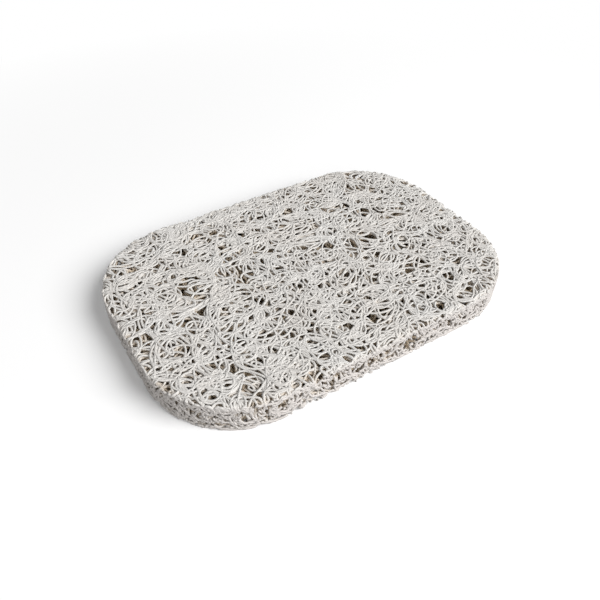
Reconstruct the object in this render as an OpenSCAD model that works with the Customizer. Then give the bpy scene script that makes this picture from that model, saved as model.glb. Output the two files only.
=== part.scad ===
// Soap saver: a die-cut mat of extruded plastic threads.
// Each thread crosses the mat from one long side to the other in round curls. Threads lie
// side by side in layers, and are welded to their neighbours wherever they touch.
// Millimetres, +Z up, origin under the middle of the mat on the surface it lies on.

/* [Mat] */
// Length of the mat, along X
mat_l = 120.6; // [100:0.1:150]
// Width of the mat, along Y
mat_w = 82.6; // [70:0.1:100]
// Thickness of the mat
mat_t = 10; // [8:0.1:12]
// Radius of the four corners that the die cuts
corner_r = 29; // [20:0.5:34]

/* [Thread] */
// Diameter of one extruded thread
thread_d = 0.7; // [0.5:0.05:0.9]
// Mean radius of the wide turn of a curl
curl_r = 4.8; // [4.2:0.1:5.4]
// Distance along a thread from one curl to the next
curl_step = 5.7; // [5:0.1:7]
// Depth to which a thread sinks into the threads of the layer under it
weld_depth = 0.3; // [0.1:0.05:0.5]
// Depth of the flat that a curl of the base layer has where it lies
foot_depth = 0.12; // [0.05:0.01:0.2]

/* [Laying] */
// Longest half of a straight run between two turns
run_reach = 1.3; // [0.4:0.1:2]
// Share by which a curl may be wider or narrower than the mean
curl_spread = 0.14; // [0:0.02:0.2]
// Share of a lane by which a thread may stray from the middle of its lane
stray = 0.2; // [0:0.05:0.4]
// Picks another laying of the same mat
laying_seed = 7; // [1:1:99]

/* [Hidden] */
LAYERS = ["base", "lower", "upper", "face"];
LANES = 15;
TURN_FACETS = 24;
THREAD_FACETS = 14;
// Shortest half of a straight run
RUN_LEAST = 0.1;
// A run is thicker than a turn by this much all round, and so closes over the turns' ends
RUN_SWELL = 0.03;
// Least share of curl_step by which curls follow each other once they fill a lane
LEAST_STEP = 0.9;
// Degrees by which the two waves of the laying go on from one curl to the next
WAVE_STEPS = [77, 131];
LAYER_COLOURS = [[0.70, 0.69, 0.66], [0.75, 0.74, 0.71], [0.80, 0.79, 0.76], [0.85, 0.84, 0.81]];

thread_r = thread_d / 2;
base_z = thread_r - foot_depth;
layers_up = len(LAYERS) - 1;
// How far a thread rises over each wide turn and sinks again over the tight turn after it
curl_rise = (mat_t - thread_r - RUN_SWELL - base_z - layers_up * (thread_d - weld_depth)) / len(LAYERS);
layer_step = curl_rise + thread_d - weld_depth;

function thread_name(layer, lane) = str(LAYERS[layer], "_thread_", lane < 9 ? "0" : "", lane + 1);

// Half the width of the mat at x, inside its outline drawn in by inset
function half_width(x, inset) =
  let (into_corner = abs(x) - (mat_l / 2 - corner_r), arc = corner_r - inset)
  mat_w / 2 - corner_r + (into_corner <= 0 ? arc : sqrt(max(0, arc * arc - into_corner * into_corner)));

// Two waves added, from -1 to 1, read at curl i
function wave(i, start) = (sin(WAVE_STEPS[0] * i + start) + sin(WAVE_STEPS[1] * i + 2 * start)) / 2;

// The length of a half run at curl i, to a hundredth, so that turns and runs meet exactly
function half_run(i, start) =
  round(100 * (RUN_LEAST + (run_reach - RUN_LEAST) * (1 + wave(i, start)) / 2)) / 100;

// Span in plan of a turn that rises by curl_rise, and the radius of a turn of a given span
function turn_span(r) = sqrt(4 * r * r - curl_rise * curl_rise);
function span_radius(span) = sqrt(span * span + curl_rise * curl_rise) / 2;

function wide_span(i, start) = turn_span(curl_r * (1 + curl_spread * wave(i, start)));

// One thread: [its x, its hand, its curls], and each curl: [start along Y, span of its wide
// turn, half runs towards the wide turn and towards the tight turn]
function laying(layer, lane) =
  let (
    lot = rands(0, 360, 4, laying_seed + layer * 100 + lane),
    hand = (layer + lane) % 2 == 0 ? 1 : -1,
    widest = curl_r * (1 + curl_spread),
    tight_side = thread_r + run_reach + span_radius(turn_span(widest) - LEAST_STEP * curl_step),
    share = lane / (LANES - 1),
    strayed = 2 * share - 1 + stray / LANES * sin(180 * share) * sin(lot[3]),
    rough_x = strayed * (mat_l / 2 - thread_r - widest),
    curls = max(2, 1 + round(2 * half_width(rough_x, thread_r + curl_r) / curl_step)),
    spans = [for (i = [0 : curls - 1]) wide_span(i, lot[0])],
    runs = [for (i = [0 : curls - 1]) half_run(i, lot[1])],
    wide_side = thread_r + max([for (i = [0 : curls - 1]) span_radius(spans[i]) + runs[i]]),
    x = (hand * (tight_side - wide_side) + strayed * (mat_l - wide_side - tight_side)) / 2,
    half_first = spans[0] / 2,
    half_last = spans[curls - 1] / 2,
    first = -half_width(x + hand * runs[0], thread_r + half_first) - half_first,
    last = half_width(x + hand * runs[curls - 1], thread_r + half_last) - half_last,
    step = (last - first) / (curls - 1)
  )
  [x, hand, [for (i = [0 : curls - 1])
    [first + i * step, spans[i], runs[i], -half_run(i, lot[2])]]];

// Half a ring of thread from the origin to its far end, curl_rise higher, towards +X or -X
module turn(span, side) {
  r = span_radius(span);
  rotate([atan2(curl_rise, span), 0, 0]) translate([0, r, 0]) rotate([0, 0, -90 * side])
    rotate_extrude(angle = 180, $fn = TURN_FACETS)
      translate([r, 0]) circle(r = thread_r, $fn = THREAD_FACETS);
}

// A straight run of thread along X
module run(from_x, to_x) {
  translate([from_x, 0, 0]) rotate([0, 90, 0])
    cylinder(r = thread_r + RUN_SWELL, h = to_x - from_x, $fn = THREAD_FACETS);
}

// A wide turn up, a run at the top, a tight turn back down and a run at the bottom
module curl(this, next) {
  top = this[0] + this[1];
  translate([this[2], this[0], 0]) turn(this[1], 1);
  if (next) {
    translate([0, top, curl_rise]) run(this[3], this[2]);
    translate([this[3], next[0], 0]) turn(top - next[0], -1);
    translate([0, next[0], 0]) run(this[3], next[2]);
  }
}

// A whole thread, rounded all along
module laid_thread(layer, lane) {
  laid = laying(layer, lane);
  curls = laid[2];
  translate([laid[0], 0, base_z + layer * layer_step])
    mirror([laid[1] < 0 ? 1 : 0, 0, 0])
      for (i = [0 : len(curls) - 1]) curl(curls[i], curls[i + 1]);
}

// The space under the mat, which the curls of the base layer are pressed flat against
module ground() {
  translate([-mat_l / 2, -mat_w / 2, -thread_d]) cube([mat_l, mat_w, thread_d]);
}

module base_thread(lane) {
  color(LAYER_COLOURS[0]) difference() {
    laid_thread(0, lane);
    ground();
  }
}

module upper_layer_thread(layer, lane) {
  color(LAYER_COLOURS[layer]) laid_thread(layer, lane);
}

for (lane = [0 : LANES - 1])
  base_thread(lane);

for (layer = [1 : layers_up]) for (lane = [0 : LANES - 1])
  upper_layer_thread(layer, lane);
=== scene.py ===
import math

import bpy
import numpy as np
from bpy.props import (
    FloatProperty,
    FloatVectorProperty,
    IntProperty,
    PointerProperty,
)
from mathutils import Matrix, Vector


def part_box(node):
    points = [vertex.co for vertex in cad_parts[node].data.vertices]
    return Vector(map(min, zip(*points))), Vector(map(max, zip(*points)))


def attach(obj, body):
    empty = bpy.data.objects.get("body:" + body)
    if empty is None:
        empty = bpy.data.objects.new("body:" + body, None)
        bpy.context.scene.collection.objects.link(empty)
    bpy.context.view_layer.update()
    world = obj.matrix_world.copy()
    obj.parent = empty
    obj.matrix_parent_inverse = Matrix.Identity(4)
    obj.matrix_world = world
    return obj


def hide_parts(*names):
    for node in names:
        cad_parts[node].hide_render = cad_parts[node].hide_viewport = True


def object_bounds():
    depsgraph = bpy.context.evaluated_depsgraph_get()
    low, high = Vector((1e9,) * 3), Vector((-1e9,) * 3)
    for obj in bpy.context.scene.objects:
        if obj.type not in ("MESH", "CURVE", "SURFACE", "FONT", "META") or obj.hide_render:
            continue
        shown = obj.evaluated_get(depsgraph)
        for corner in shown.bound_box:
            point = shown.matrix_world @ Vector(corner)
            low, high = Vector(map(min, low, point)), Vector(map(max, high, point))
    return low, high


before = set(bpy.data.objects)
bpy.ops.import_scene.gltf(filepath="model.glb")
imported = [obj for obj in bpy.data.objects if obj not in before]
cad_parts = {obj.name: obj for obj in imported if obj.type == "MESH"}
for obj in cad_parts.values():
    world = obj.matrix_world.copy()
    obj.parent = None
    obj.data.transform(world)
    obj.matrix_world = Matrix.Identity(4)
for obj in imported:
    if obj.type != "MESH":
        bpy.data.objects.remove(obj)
CAD_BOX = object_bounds()

bl_info = {
    "name": "Soap Saver",
    "version": (1, 0, 0),
    "blender": (4, 5, 0),
    "location": "View3D > Sidebar > Soap Saver",
    "description": "Lays a soap saver of curled and welded threads around its packed part",
    "category": "Add Mesh",
}

MM = 0.001
TURN = 2 * np.pi
LAYERS = ("base", "lower", "upper", "face")
BODY = "root"
PLASTIC = "bone_thread"

# Points of a thread's centreline in one turn of a curl, before they are spaced evenly
TURN_POINTS = 40
# Shares of a turn by which noise hurries a curl, swings its oval and leads its kinks
HURRY = 0.25
OVAL_SWING = 0.9
KINK_LEAD = 0.5
# Shares by which noise changes the length of the oval's arm, the fall from the highest level,
# the width of the strip that is pressed into the edge and the diameter of a thread
OVAL_SPREAD = 0.6
FALL_SPREAD = 0.95
SQUEEZE_SPREAD = 0.7
SWELL = 0.07
# Mean share of the droop by which threads sag at the edge, and its spread
SAG = 0.55
SAG_SPREAD = 0.45
# Diameters by which the centre of a thread that is pressed into the edge lies inside it
TUCK = 0.4
# Share of the overrun by which the outermost lanes were laid past the die's line
SIDE_OVERRUN = 0.8
# Inner steps by which an inner thread advances in one curl in the middle of the mat; at the
# ends of the mat it is one less
INNER_MIDDLE = 1.5

# Depths in the mat at which each tint of painted shade begins and is full
PAINTED_SHADE_DEPTHS = (0.4 * MM, 1.5 * MM)
PAINTED_DEEP_SHADE_DEPTHS = (1.6 * MM, 2.9 * MM)
# How far in from the cut edge its painted shade ends, and the widths over which it fades
# there and under the face
CUT_SHADE_REACH = 0.9 * MM
CUT_SHADE_FADE = 0.6 * MM
CUT_SHADE_FACE_FADE = 1.5 * MM

# Azimuth and height in degrees, and power in watts, of each lamp; their distance and size
LAMPS = {"key": (36.0, 40.0, 48.6), "fill": (-32.0, 35.0, 10.5)}
LAMP_DISTANCE = 2.0
LAMP_SIZE = 1.5
# Strength of the world where it lights the mat; where it is seen it is 1
SKY_LIGHT = 0.18
# Half the width of the floor
FLOOR_REACH = 3.0
# Distances from the middle of the mat at which the seen floor starts to turn white and is white
WHITE_DISTANCES = (100 * MM, 250 * MM)
# Width of the camera's sensor, in its own millimetres, and the nearest that it sees
SENSOR_WIDTH = 36.0
NEAREST_SEEN = 5 * MM


class SoapSaverThreads(bpy.types.PropertyGroup):
    """Sizes of the threads and of the way they are laid."""

    thread_d: FloatProperty(
        name="Thread diameter", description="Diameter of one extruded thread",
        default=0.70 * MM, unit="LENGTH", precision=5)
    corner_r: FloatProperty(
        name="Corner radius", description="Radius of the four corners that the die cuts",
        default=28.0 * MM, unit="LENGTH", precision=4)
    shoulder_r: FloatProperty(
        name="Shoulder radius", description="Rounding of the face's edge by the die",
        default=0.8 * MM, unit="LENGTH", precision=4)
    squeeze: FloatProperty(
        name="Squeeze", description="Mean width of the strip that the die presses into the edge",
        default=1.5 * MM, unit="LENGTH", precision=4)
    droop: FloatProperty(
        name="Droop", description="How far the die may bend a face thread down at the edge",
        default=2.3 * MM, unit="LENGTH", precision=4)
    droop_reach: FloatProperty(
        name="Droop reach", description="Width of the strip along the edge where threads bend down",
        default=1.8 * MM, unit="LENGTH", precision=4)
    ragged: FloatProperty(
        name="Ragged", description="How far short of the outline a thread may be cut",
        default=0.10 * MM, unit="LENGTH", precision=4)
    uneven: FloatProperty(
        name="Uneven", description="How far a thread may be pressed below the face or the edge",
        default=0.16 * MM, unit="LENGTH", precision=5)
    curl_r: FloatProperty(
        name="Curl radius", description="Mean radius of the curls in which a thread is laid",
        default=3.9 * MM, unit="LENGTH", precision=4)
    curl_spread: FloatProperty(
        name="Curl spread", description="Share by which a curl is larger or smaller than the mean",
        default=0.38, min=0.0, max=0.8)
    oval: FloatProperty(
        name="Oval", description="Mean share by which a curl is drawn out into an oval",
        default=0.38, min=0.0, max=0.7)
    kink: FloatProperty(
        name="Kink", description="Mean share by which a curl is bent into smaller loops",
        default=0.17, min=0.0, max=0.6)
    kink_rate: FloatProperty(
        name="Kink rate", description="Smaller loops in one curl", default=2.7)
    wander: FloatProperty(
        name="Wander", description="How far a thread strays from a steady advance along its lane",
        default=2.4 * MM, unit="LENGTH", precision=4)
    face_step: FloatProperty(
        name="Face step", description="Advance of a face thread in one curl",
        default=0.97 * MM, unit="LENGTH", precision=5)
    base_step: FloatProperty(
        name="Base step", description="Advance of a base thread in one curl",
        default=1.6 * MM, unit="LENGTH", precision=5)
    inner_step: FloatProperty(
        name="Inner step", description="Advance in one curl of the threads between them",
        default=2.2 * MM, unit="LENGTH", precision=5)
    rim_share: FloatProperty(
        name="Rim share", description="How much the threads in the middle crowd near the cut edge",
        default=0.7, min=0.0, max=1.0)
    overrun: FloatProperty(
        name="Overrun", description="How far the threads were laid past the line that the die cuts",
        default=5.0 * MM, unit="LENGTH", precision=4)
    ring_gap: FloatProperty(
        name="Ring gap", description="Distance between the rings of a thread's skin",
        default=0.55 * MM, unit="LENGTH", precision=5)
    sides: IntProperty(
        name="Sides", description="Points in one ring of a thread's skin", default=5, min=5, max=12)
    seed: IntProperty(name="Seed", description="Picks another laying of the same mat", default=11)


class SoapSaverFinish(bpy.types.PropertyGroup):
    """Colours and gloss of the plastic."""

    # Bone is the plastic's own colour, without painted shade
    bone: FloatVectorProperty(
        name="Bone", description="Colour of the plastic where it is clean and outermost",
        subtype="COLOR", size=3, default=(0.675, 0.660, 0.636))
    bone_warm: FloatVectorProperty(
        name="Warm bone", description="Colour of the warmer stretches of thread",
        subtype="COLOR", size=3, default=(0.652, 0.625, 0.592))
    # Painted shade: a darker, browner colour that dims the walls of the cut edge
    cut: FloatVectorProperty(
        name="Cut", description="Colour of the plastic that the die has squeezed at the edge",
        subtype="COLOR", size=3, default=(0.590, 0.557, 0.532))
    # Painted shade for the threads a little way into the mat
    painted_shade: FloatVectorProperty(
        name="Shaded", description="Colour of the threads a little way into the mat",
        subtype="COLOR", size=3, default=(0.620, 0.525, 0.415))
    # Darker painted shade for the threads in the depth of the mat
    deep: FloatVectorProperty(
        name="Deep", description="Colour of the threads in the depth of the mat",
        subtype="COLOR", size=3, default=(0.500, 0.410, 0.290))
    roughness: FloatProperty(
        name="Roughness", description="Roughness of the plastic", default=0.56, min=0.0, max=1.0,
        subtype="FACTOR")


class SoapSaverStage(bpy.types.PropertyGroup):
    """Camera, floor and lamps."""

    lens: FloatProperty(
        name="Lens", description="Focal length on a sensor 36 mm wide", default=35.0)
    distance: FloatProperty(
        name="Distance", description="From the camera to the point that it aims at",
        default=179.1 * MM, unit="LENGTH", precision=4)
    azimuth: FloatProperty(
        name="Azimuth", description="Turn of the camera about the mat, from straight in front",
        default=math.radians(-33.15), subtype="ANGLE")
    elevation: FloatProperty(
        name="Elevation", description="Height of the camera as an angle above the floor",
        default=math.radians(43.27), subtype="ANGLE")
    roll: FloatProperty(
        name="Roll", description="Turn of the camera about its own line of sight",
        default=math.radians(1.02), subtype="ANGLE")
    aim: FloatVectorProperty(
        name="Aim", description="The point that the camera looks at", subtype="TRANSLATION",
        size=3, default=(-8.18 * MM, -9.37 * MM, 5.0 * MM), precision=4)
    floor: FloatVectorProperty(
        name="Floor", description="Colour of the floor as it is seen", subtype="COLOR", size=3,
        default=(0.98, 0.98, 0.98))
    glow: FloatProperty(
        name="Glow", description="Light that the floor gives off where it is seen", default=0.05,
        min=0.0, max=1.0)
    bounce: FloatVectorProperty(
        name="Bounce", description="Colour of the floor for the light that it throws back",
        subtype="COLOR", size=3, default=(0.60, 0.60, 0.60))


def smooth_noise(rng, t, waves, slowest, fastest):
    """A smooth random curve over t, from -1 to 1: the sum of sine waves of random frequency
    between slowest and fastest, in cycles per unit of t, of random phase and of a weight from
    0.6 to 1, over 0.75 of the root of twice the sum of the squared weights, and clipped."""
    frequency = rng.uniform(slowest, fastest, waves)[:, None]
    phase = rng.uniform(0, TURN, waves)[:, None]
    weight = rng.uniform(0.6, 1.0, waves)[:, None]
    wave = weight * np.sin(TURN * frequency * t[None, :] + phase)
    return np.clip(wave.sum(0) / (0.75 * np.sqrt((weight ** 2).sum() * 2)), -1, 1)


def evenly(path, gap):
    """The same path with its points a steady gap apart, measured along its first three columns;
    any further columns go along with them."""
    steps = np.linalg.norm(np.diff(path[:, :3], axis=0), axis=1)
    along = np.concatenate([[0.0], np.cumsum(steps)])
    count = max(2, int(round(along[-1] / gap)) + 1)
    wanted = np.linspace(0, along[-1], count)
    return np.stack([np.interp(wanted, along, column) for column in path.T], axis=1)


def outline_distance(xy, half_l, half_w, corner_r):
    """Signed distance of points to the mat's outline, a rectangle with round corners: below
    zero inside. Also the outward direction there."""
    q = np.abs(xy) - np.array([half_l - corner_r, half_w - corner_r])
    out = np.maximum(q, 0)
    reach = np.linalg.norm(out, axis=1)
    distance = reach + np.minimum(q.max(axis=1), 0) - corner_r
    flat = np.where(q[:, :1] > q[:, 1:], np.array([[1.0, 0.0]]), np.array([[0.0, 1.0]]))
    round_way = out / np.maximum(reach, 1e-9)[:, None]
    way = np.where(reach[:, None] > 1e-9, round_way, flat) * np.where(xy < 0, -1.0, 1.0)
    return distance, way


def thread_line(rng, s, low, high, level, step, rim_share):
    """The centreline of one thread, as points a ring gap apart.

    The middle of the curls goes along a lane from low to high in Y, at a steady rate or, by the
    rim share, more slowly towards the ends as a sine does, plus a slow stray each way. Round it
    turns an arm of slowly changing length, so that a few turns in a row lie side by side, and a
    shorter arm turns the other way, which draws the curl out into an oval whose long axis slowly
    swings round. A third arm turns faster and bends the curl into kinks and small loops where
    its length, a smooth noise, is large. The height falls from the highest level by a power of
    a smooth noise that changes at the given rate in each curl."""
    turns = (high[1] - low[1]) / step
    t = np.linspace(0, turns, int(turns * TURN_POINTS))
    slow = step / (TURN * s.curl_r)

    def noise(waves, slowest, fastest):
        return smooth_noise(rng, t, waves, slowest, fastest)

    hand = rng.choice([-1.0, 1.0])
    angle = hand * TURN * (t + HURRY * noise(6, 0.04, 0.4))
    swing = TURN * (rng.uniform() + OVAL_SWING * noise(6, 0.5 * slow, 3 * slow))
    arm = s.curl_r * (1 + s.curl_spread * noise(7, slow, 6 * slow))
    oval = arm * s.oval * (1 + OVAL_SPREAD * noise(6, slow, 6 * slow))
    kink = arm * s.kink * (1 + noise(6, slow, 0.3))
    quick = angle * s.kink_rate + TURN * (rng.uniform() + KINK_LEAD * noise(6, slow, 0.3))
    stray = s.wander * noise(6, 0.5 * slow, 6 * slow)
    rush = s.wander * noise(6, 0.5 * slow, 6 * slow)
    middle_x = (low[0] + high[0]) / 2
    x = middle_x + stray + arm * np.cos(angle) + oval * np.cos(swing - angle)
    u = 2 * t / turns - 1
    lane_y = (high[1] - low[1]) / 2 * ((1 - rim_share) * u + rim_share * np.sin(np.pi / 2 * u))
    y = lane_y + rush + arm * np.sin(angle) + oval * np.sin(swing - angle)
    x += kink * np.cos(quick)
    y += kink * np.sin(quick)
    bottom, top, pull, rate = level
    fall = (1 - FALL_SPREAD * noise(8, 0.3 * rate, rate)) / 2
    z = top + (bottom - top) * np.clip(fall, 0, 1) ** pull
    return evenly(np.stack([x, y, z], axis=1), s.ring_gap)


def pressed_line(rng, line, s, box):
    """A centreline as the die leaves it, in six columns: the point, 1 where the thread stays in
    the mat, and how far short of the outline and below the face it is pressed.

    Near the outline a thread sags by a share of the droop, more towards the face. The strip just
    outside is squeezed back into the edge; its width and the threads' sag change slowly and at
    random along a thread. What lies farther out is cut off."""
    half_l, half_w, thick = box
    along = np.arange(len(line)) * s.ring_gap / s.curl_r

    def noise(waves, slowest, fastest):
        return smooth_noise(rng, along, waves, slowest, fastest)

    press = s.uneven * (0.5 + 0.5 * noise(8, 0.2, 2.0))
    short = press + s.ragged * np.maximum(noise(8, 0.2, 1.5), 0)
    distance, way = outline_distance(line[:, :2], half_l, half_w, s.corner_r)
    beyond = distance + short
    kept = beyond < s.squeeze * (1 + SQUEEZE_SPREAD * noise(6, 0.05, 0.5))
    sag = SAG + SAG_SPREAD * noise(8, 0.2, 1.5)
    rim = np.clip(1 + beyond / s.droop_reach, 0, 1)
    height = line[:, 2] * (1 - s.droop / thick * sag * rim ** 2)
    plan = line[:, :2] - way * np.maximum(beyond + TUCK * s.thread_d, 0)[:, None]
    return evenly(np.column_stack([plan, height, kept, short, press]), s.ring_gap)


def thread_skin(rng, line, s, box):
    """Tubes along the stretches of a centreline that the die leaves in the mat.

    Each ring is a circle square to the pressed line, of slowly changing size. What would still
    stand out of the outline, the face with its round shoulder or the underside is pushed back
    onto it. Returns points, quads and end caps."""
    half_l, half_w, thick = box
    pressed = pressed_line(rng, line, s, box)
    line, kept, short, press = pressed[:, :3], pressed[:, 3] > 0.5, pressed[:, 4], pressed[:, 5]
    along = np.arange(len(line)) * s.ring_gap / s.curl_r
    ahead = np.gradient(line, axis=0)
    ahead /= np.maximum(np.linalg.norm(ahead, axis=1), 1e-12)[:, None]
    side = np.cross([0.0, 0.0, 1.0], ahead)
    side /= np.maximum(np.linalg.norm(side, axis=1), 1e-9)[:, None]
    up = np.cross(ahead, side)
    turn = TURN * (np.arange(s.sides) + 0.5) / s.sides
    swell = s.thread_d / 2 * (1 + SWELL * smooth_noise(rng, along, 6, 0.1, 1.2))
    ring = (np.cos(turn)[None, :, None] * side[:, None, :]
            + np.sin(turn)[None, :, None] * up[:, None, :])
    points = (line[:, None, :] + swell[:, None, None] * ring).reshape(-1, 3)
    distance, way = outline_distance(points[:, :2], half_l, half_w, s.corner_r)
    points[:, :2] -= way * np.maximum(distance + np.repeat(short, s.sides), 0)[:, None]
    into = np.clip(distance + s.shoulder_r, 0, s.shoulder_r)
    drop = s.shoulder_r - np.sqrt(s.shoulder_r ** 2 - into ** 2)
    points[:, 2] = np.clip(points[:, 2], 0, thick - drop - np.repeat(press, s.sides))
    joined = kept[:-1] & kept[1:]
    first = np.flatnonzero(joined)[:, None] * s.sides
    k = np.arange(s.sides)[None, :]
    after = (k + 1) % s.sides
    quads = np.stack([first + k, first + after, first + s.sides + after, first + s.sides + k],
                     axis=2).reshape(-1, 4)
    starts = np.flatnonzero(joined & ~np.concatenate([[False], joined[:-1]]))
    ends = np.flatnonzero(joined & ~np.concatenate([joined[1:], [False]])) + 1
    caps = np.concatenate([starts[:, None] * s.sides + k[:, ::-1], ends[:, None] * s.sides + k])
    return points, quads, caps


def depth_in_mat(points, distance, thick):
    """How deep points lie in the mat, in metres: the least distance to its face, its
    underside and its cut edge, by their signed distance to the outline."""
    return np.minimum(np.minimum(points[:, 2], thick - points[:, 2]), np.maximum(-distance, 0))


def cut_shade_share(points, distance, thick):
    """Share of the painted shade on the cut edge: 1 on the edge that the die has cut, fading to 0
    farther in and towards the face.
    """
    inwards = np.clip((distance + CUT_SHADE_REACH) / CUT_SHADE_FADE, 0, 1)
    return inwards * np.clip((thick - points[:, 2]) / CUT_SHADE_FACE_FADE, 0, 1)


def tube_mesh(name, points, quads, caps):
    """A mesh from points, four-sided skin faces and many-sided end caps, without loose points."""
    used = np.zeros(len(points), bool)
    used[quads] = True
    new_index = np.cumsum(used) - 1
    corners = np.concatenate([new_index[quads].ravel(), new_index[caps].ravel()])
    sizes = np.concatenate([np.full(len(quads), 4), np.full(len(caps), caps.shape[1])])
    starts = np.concatenate([[0], np.cumsum(sizes)[:-1]])
    points = points[used]
    mesh = bpy.data.meshes.new(name)
    mesh.vertices.add(len(points))
    mesh.vertices.foreach_set("co", points.astype(np.float32).ravel())
    mesh.loops.add(len(corners))
    mesh.loops.foreach_set("vertex_index", corners.astype(np.int32))
    mesh.polygons.add(len(sizes))
    mesh.polygons.foreach_set("loop_start", starts.astype(np.int32))
    mesh.polygons.foreach_set("use_smooth", sizes == 4)
    mesh.update(calc_edges=True)
    return mesh, points


def add_attribute(mesh, name, values):
    """Stores one number for each point of a mesh."""
    attribute = mesh.attributes.new(name, "FLOAT", "POINT")
    attribute.data.foreach_set("value", values.astype(np.float32))


class Socket:
    """A node's output, or a number, that takes part in arithmetic by adding Math nodes."""

    def __init__(self, shader, value):
        self.shader = shader
        self.value = value

    def math(self, operation, other, swapped=False):
        first, second = (other, self) if swapped else (self, other)
        return self.shader.node("ShaderNodeMath", {"operation": operation},
                                {0: first, 1: second})

    def output(self, name):
        """Another output of the same node."""
        return Socket(self.shader, self.value.node.outputs[name])

    def __add__(self, other):
        return self.math("ADD", other)

    def __radd__(self, other):
        return self.math("ADD", other, True)

    def __sub__(self, other):
        return self.math("SUBTRACT", other)

    def __rsub__(self, other):
        return self.math("SUBTRACT", other, True)

    def __mul__(self, other):
        return self.math("MULTIPLY", other)

    def __rmul__(self, other):
        return self.math("MULTIPLY", other, True)

    def __truediv__(self, other):
        return self.math("DIVIDE", other)

    def __rtruediv__(self, other):
        return self.math("DIVIDE", other, True)

    def ramp(self, low, high):
        """0 up to low, 1 from high, and straight in between."""
        return ((self - low) / (high - low)).clamp()

    def clamp(self):
        return self.math("MAXIMUM", 0.0).math("MINIMUM", 1.0)


class Shader:
    """The nodes of one material or world."""

    def __init__(self, tree):
        self.tree = tree
        tree.nodes.clear()

    def node(self, kind, settings=None, inputs=None, output=0):
        """Adds a node of a type, with its settings first and then its sockets' values or links."""
        made = self.tree.nodes.new(kind)
        for name, value in (settings or {}).items():
            setattr(made, name, value)
        for key, value in (inputs or {}).items():
            socket = made.inputs[key]
            if isinstance(value, Socket):
                self.tree.links.new(value.value, socket)
            else:
                socket.default_value = value
        return Socket(self, made.outputs[output]) if len(made.outputs) else made

    def mix_colour(self, factor, a, b):
        return self.node("ShaderNodeMix", {"data_type": "RGBA"},
                         {"Factor": factor, "A": a, "B": b}, output="Result")


def rgba(colour):
    return (*colour, 1.0)


def thread_plastic(finish):
    """Bone plastic. Broad noise gives warmer stretches, and fine noise a slightly uneven skin
    and gloss. The cut attribute paints shade onto the cut edge, and the depth attribute paints
    shade onto the threads deep in the mat, darker farther in."""
    material = bpy.data.materials.new(PLASTIC)
    material.use_nodes = True
    shader = Shader(material.node_tree)
    place = shader.node("ShaderNodeTexCoord", output="Object")
    broad = shader.node("ShaderNodeTexNoise", {"noise_dimensions": "3D"},
                        {"Vector": place, "Scale": 90.0, "Detail": 2.0})
    fine = shader.node("ShaderNodeTexNoise", {"noise_dimensions": "3D"},
                       {"Vector": place, "Scale": 1600.0, "Detail": 3.0})
    depth = shader.node("ShaderNodeAttribute", {"attribute_name": "depth"}, output="Fac")
    cut = shader.node("ShaderNodeAttribute", {"attribute_name": "cut"}, output="Fac")
    # The plastic's own colour with its warmer stretches, before any painted shade
    exposed = shader.mix_colour((broad * 2.6 - 0.8).clamp(), rgba(finish.bone),
                              rgba(finish.bone_warm))
    # Painted shade that darkens the cut edge, by the cut attribute
    exposed = shader.mix_colour(cut, exposed, rgba(finish.cut))
    # Painted shade that darkens and browns the threads deeper in the mat, by the depth attribute
    colour = shader.mix_colour(depth.ramp(*PAINTED_SHADE_DEPTHS), exposed, rgba(finish.painted_shade))
    colour = shader.mix_colour(depth.ramp(*PAINTED_DEEP_SHADE_DEPTHS), colour, rgba(finish.deep))
    bump = shader.node("ShaderNodeBump", None,
                       {"Strength": 0.25, "Distance": 0.04 * MM, "Height": fine})
    surface = shader.node("ShaderNodeBsdfPrincipled", None, {
        "Base Color": colour, "Roughness": finish.roughness + 0.12 * (fine - 0.5),
        "Normal": bump, "IOR": 1.46, "Specular IOR Level": 0.15})
    shader.node("ShaderNodeOutputMaterial", None, {"Surface": surface})
    return material


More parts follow.
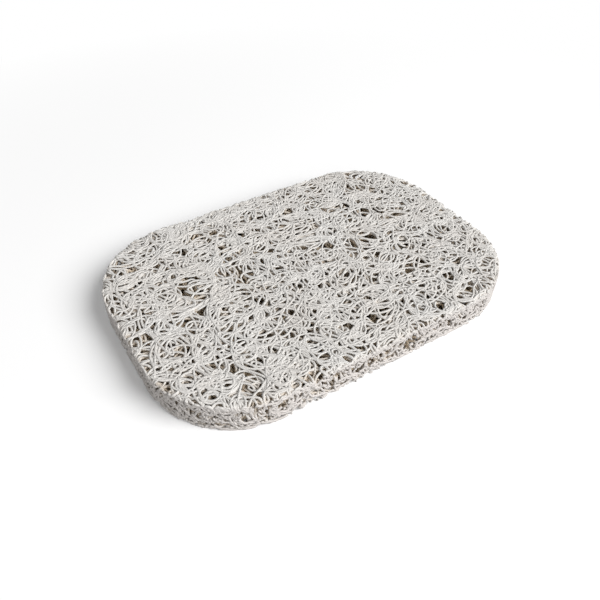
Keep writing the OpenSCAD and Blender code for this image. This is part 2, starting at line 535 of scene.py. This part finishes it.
class ThreadLayer:
    """Lays all the threads of one layer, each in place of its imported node."""

    layer = ""
    bl_options = {"REGISTER", "UNDO"}

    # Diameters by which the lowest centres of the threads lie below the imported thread's box,
    # and the highest above it, or inside it if below zero
    below = 2.5
    above = 2.0
    # Power of the fall from the highest centre, and how often threads rise and fall in a curl
    fall_power = 1.0
    fall_rate = 2.4

    def execute(self, context):
        s = context.scene.soap_saver_threads
        box = CAD_BOX[1]
        material = bpy.data.materials.get(PLASTIC) or thread_plastic(
            context.scene.soap_saver_finish)
        names = sorted(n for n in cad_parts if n.startswith(self.layer))
        for number, name in enumerate(names):
            rng = np.random.default_rng([s.seed, LAYERS.index(self.layer), number])
            low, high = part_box(name)
            level = self.level(s, low, high)
            low, high = self.lane(s, low, high, box)
            step, rim_share = self.step(s, abs(low[0] + high[0]) / 2 / box[0])
            line = thread_line(rng, s, low, high, level, step, rim_share)
            mesh, points = tube_mesh(name + "_laid", *thread_skin(rng, line, s, box))
            distance, _ = outline_distance(points[:, :2], box[0], box[1], s.corner_r)
            # The depth and cut attributes set where shade is painted onto the threads
            add_attribute(mesh, "depth", depth_in_mat(points, distance, box[2]))
            add_attribute(mesh, "cut", cut_shade_share(points, distance, box[2]))
            mesh.materials.append(material)
            piece = bpy.data.objects.new(name + "_laid", mesh)
            context.scene.collection.objects.link(piece)
            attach(piece, BODY)
            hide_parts(name)
        return {"FINISHED"}

    def lane(self, s, low, high, box):
        """The lane of a thread before the die cut it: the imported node's, longer by the
        overrun at both ends, and spread sideways, most of all at the ends of the mat."""
        reach = box[0] - (high[0] - low[0]) / 2
        middle = (low[0] + high[0]) / 2
        shift = middle / reach * (reach + SIDE_OVERRUN * s.overrun) - middle
        return (low[0] + shift, -box[1] - s.overrun), (high[0] + shift, box[1] + s.overrun)

    def level(self, s, low, high):
        """Lowest and highest centre height of the layer's threads, and how they fall."""
        return (low[2] - self.below * s.thread_d, high[2] + self.above * s.thread_d,
                self.fall_power, self.fall_rate)

    def step(self, s, off_middle):
        """Advance of a thread of the layer in one curl, by how far its lane is off the middle
        as a share of half the length, and how much its curls crowd near the cut edge."""
        return s.inner_step * (INNER_MIDDLE - off_middle), s.rim_share


class SOAP_OT_base_threads(ThreadLayer, bpy.types.Operator):
    """Lays the threads that the mat rests on"""

    bl_idname = "soap_saver.base_threads"
    bl_label = "Base threads"
    layer = "base"
    below = -0.3
    above = 1.0
    fall_power = 0.5
    fall_rate = 1.6

    def step(self, s, off_middle):
        return s.base_step, 0.0


class SOAP_OT_lower_threads(ThreadLayer, bpy.types.Operator):
    """Lays the threads of the lower middle layer"""

    bl_idname = "soap_saver.lower_threads"
    bl_label = "Lower threads"
    layer = "lower"


class SOAP_OT_upper_threads(ThreadLayer, bpy.types.Operator):
    """Lays the threads of the upper middle layer"""

    bl_idname = "soap_saver.upper_threads"
    bl_label = "Upper threads"
    layer = "upper"


class SOAP_OT_face_threads(ThreadLayer, bpy.types.Operator):
    """Lays the threads of the face that carries the soap"""

    bl_idname = "soap_saver.face_threads"
    bl_label = "Face threads"
    layer = "face"
    below = 1.0
    above = -0.25
    fall_power = 4.0
    fall_rate = 1.5

    def step(self, s, off_middle):
        return s.face_step, 0.0


def turned_to(place, aim, roll=0.0):
    """The matrix of an object at place whose -Z looks at aim, rolled about that line."""
    look = (Vector(aim) - Vector(place)).to_track_quat("-Z", "Y").to_matrix().to_4x4()
    return Matrix.Translation(place) @ look @ Matrix.Rotation(roll, 4, "Z")


def orbit(aim, azimuth, elevation, distance):
    """The point at a distance from aim, turned from straight in front and raised."""
    return Vector(aim) + distance * Vector((
        math.sin(azimuth) * math.cos(elevation),
        -math.cos(azimuth) * math.cos(elevation),
        math.sin(elevation)))


def add_lamp(context, name, azimuth, elevation, power):
    """A round area lamp that looks at the middle of the mat."""
    lamp = bpy.data.lights.new(name, "AREA")
    lamp.shape = "DISK"
    lamp.size = LAMP_SIZE
    lamp.energy = power
    obj = bpy.data.objects.new(name, lamp)
    context.scene.collection.objects.link(obj)
    place = orbit((0, 0, 0), math.radians(azimuth), math.radians(elevation), LAMP_DISTANCE)
    obj.matrix_world = turned_to(place, (0, 0, 0))


def seen_ray(shader):
    """1 for rays that come from the camera, straight or by glass or gloss, and else 0."""
    camera = shader.node("ShaderNodeLightPath", output="Is Camera Ray")
    return (camera + camera.output("Is Glossy Ray") + camera.output("Is Transmission Ray")).clamp()


def floor_paint(stage):
    """A plain floor that takes the shadow. Seen rays meet its colour and a glow, which far from
    the mat turns into plain white, and all other rays a darker floor, which throws less light
    back at the mat's edge."""
    material = bpy.data.materials.new("floor_paint")
    material.use_nodes = True
    shader = Shader(material.node_tree)
    plain = shader.node("ShaderNodeBsdfDiffuse", None, {"Color": rgba(stage.floor)})
    light = shader.node("ShaderNodeEmission", None, {"Strength": stage.glow})
    lit = shader.node("ShaderNodeAddShader", None, {0: plain, 1: light})
    unseen = shader.node("ShaderNodeBsdfDiffuse", None, {"Color": rgba(stage.bounce)})
    white = shader.node("ShaderNodeEmission", None, {"Strength": 1.0})
    place = shader.node("ShaderNodeTexCoord", output="Object")
    reach = shader.node("ShaderNodeVectorMath", {"operation": "LENGTH"}, {0: place},
                        output="Value")
    floor = shader.node("ShaderNodeMixShader", None,
                        {0: reach.ramp(*WHITE_DISTANCES), 1: lit, 2: white})
    surface = shader.node("ShaderNodeMixShader", None,
                          {0: seen_ray(shader), 1: unseen, 2: floor})
    shader.node("ShaderNodeOutputMaterial", None, {"Surface": surface})
    return material


class SOAP_OT_stage(bpy.types.Operator):
    """Sets the floor, the lamps, the world and the camera"""

    bl_idname = "soap_saver.stage"
    bl_label = "Stage"
    bl_options = {"REGISTER", "UNDO"}

    def execute(self, context):
        stage = context.scene.soap_saver_stage
        scene = context.scene
        mesh = bpy.data.meshes.new("floor")
        ways = ((-1, -1), (1, -1), (1, 1), (-1, 1))
        mesh.from_pydata([(x * FLOOR_REACH, y * FLOOR_REACH, 0) for x, y in ways], [],
                         [(0, 1, 2, 3)])
        mesh.materials.append(floor_paint(stage))
        floor = bpy.data.objects.new("floor", mesh)
        scene.collection.objects.link(floor)

        world = bpy.data.worlds.new("studio")
        scene.world = world
        world.use_nodes = True
        shader = Shader(world.node_tree)
        strength = SKY_LIGHT + (1 - SKY_LIGHT) * seen_ray(shader)
        sky = shader.node("ShaderNodeBackground", None,
                          {"Color": (1.0, 1.0, 1.0, 1.0), "Strength": strength})
        shader.node("ShaderNodeOutputWorld", None, {"Surface": sky})

        for name, lamp in LAMPS.items():
            add_lamp(context, name, *lamp)

        camera = bpy.data.cameras.new("camera")
        camera.lens = stage.lens
        camera.sensor_width = SENSOR_WIDTH
        camera.clip_start = NEAREST_SEEN
        obj = bpy.data.objects.new("camera", camera)
        scene.collection.objects.link(obj)
        place = orbit(stage.aim, stage.azimuth, stage.elevation, stage.distance)
        obj.matrix_world = turned_to(place, stage.aim, stage.roll)
        scene.camera = obj
        scene.view_settings.view_transform = "Standard"
        return {"FINISHED"}


OPERATORS = (
    SOAP_OT_base_threads,
    SOAP_OT_lower_threads,
    SOAP_OT_upper_threads,
    SOAP_OT_face_threads,
    SOAP_OT_stage,
)


class VIEW3D_PT_soap_saver(bpy.types.Panel):
    """Lists the steps that make the soap saver."""

    bl_label = "Soap Saver"
    bl_space_type = "VIEW_3D"
    bl_region_type = "UI"
    bl_category = "Soap Saver"

    def draw(self, context):
        for operator in OPERATORS:
            self.layout.operator(operator.bl_idname)


GROUPS = (
    ("soap_saver_threads", SoapSaverThreads),
    ("soap_saver_finish", SoapSaverFinish),
    ("soap_saver_stage", SoapSaverStage),
)


def register():
    for name, group in GROUPS:
        bpy.utils.register_class(group)
        setattr(bpy.types.Scene, name, PointerProperty(type=group))
    for cls in (*OPERATORS, VIEW3D_PT_soap_saver):
        bpy.utils.register_class(cls)


def unregister():
    for cls in reversed((*OPERATORS, VIEW3D_PT_soap_saver)):
        bpy.utils.unregister_class(cls)
    for name, group in reversed(GROUPS):
        delattr(bpy.types.Scene, name)
        bpy.utils.unregister_class(group)


def main():
    register()
    for operator in OPERATORS:
        group, name = operator.bl_idname.split(".")
        getattr(getattr(bpy.ops, group), name)()


if __name__ == "__main__":
    main()
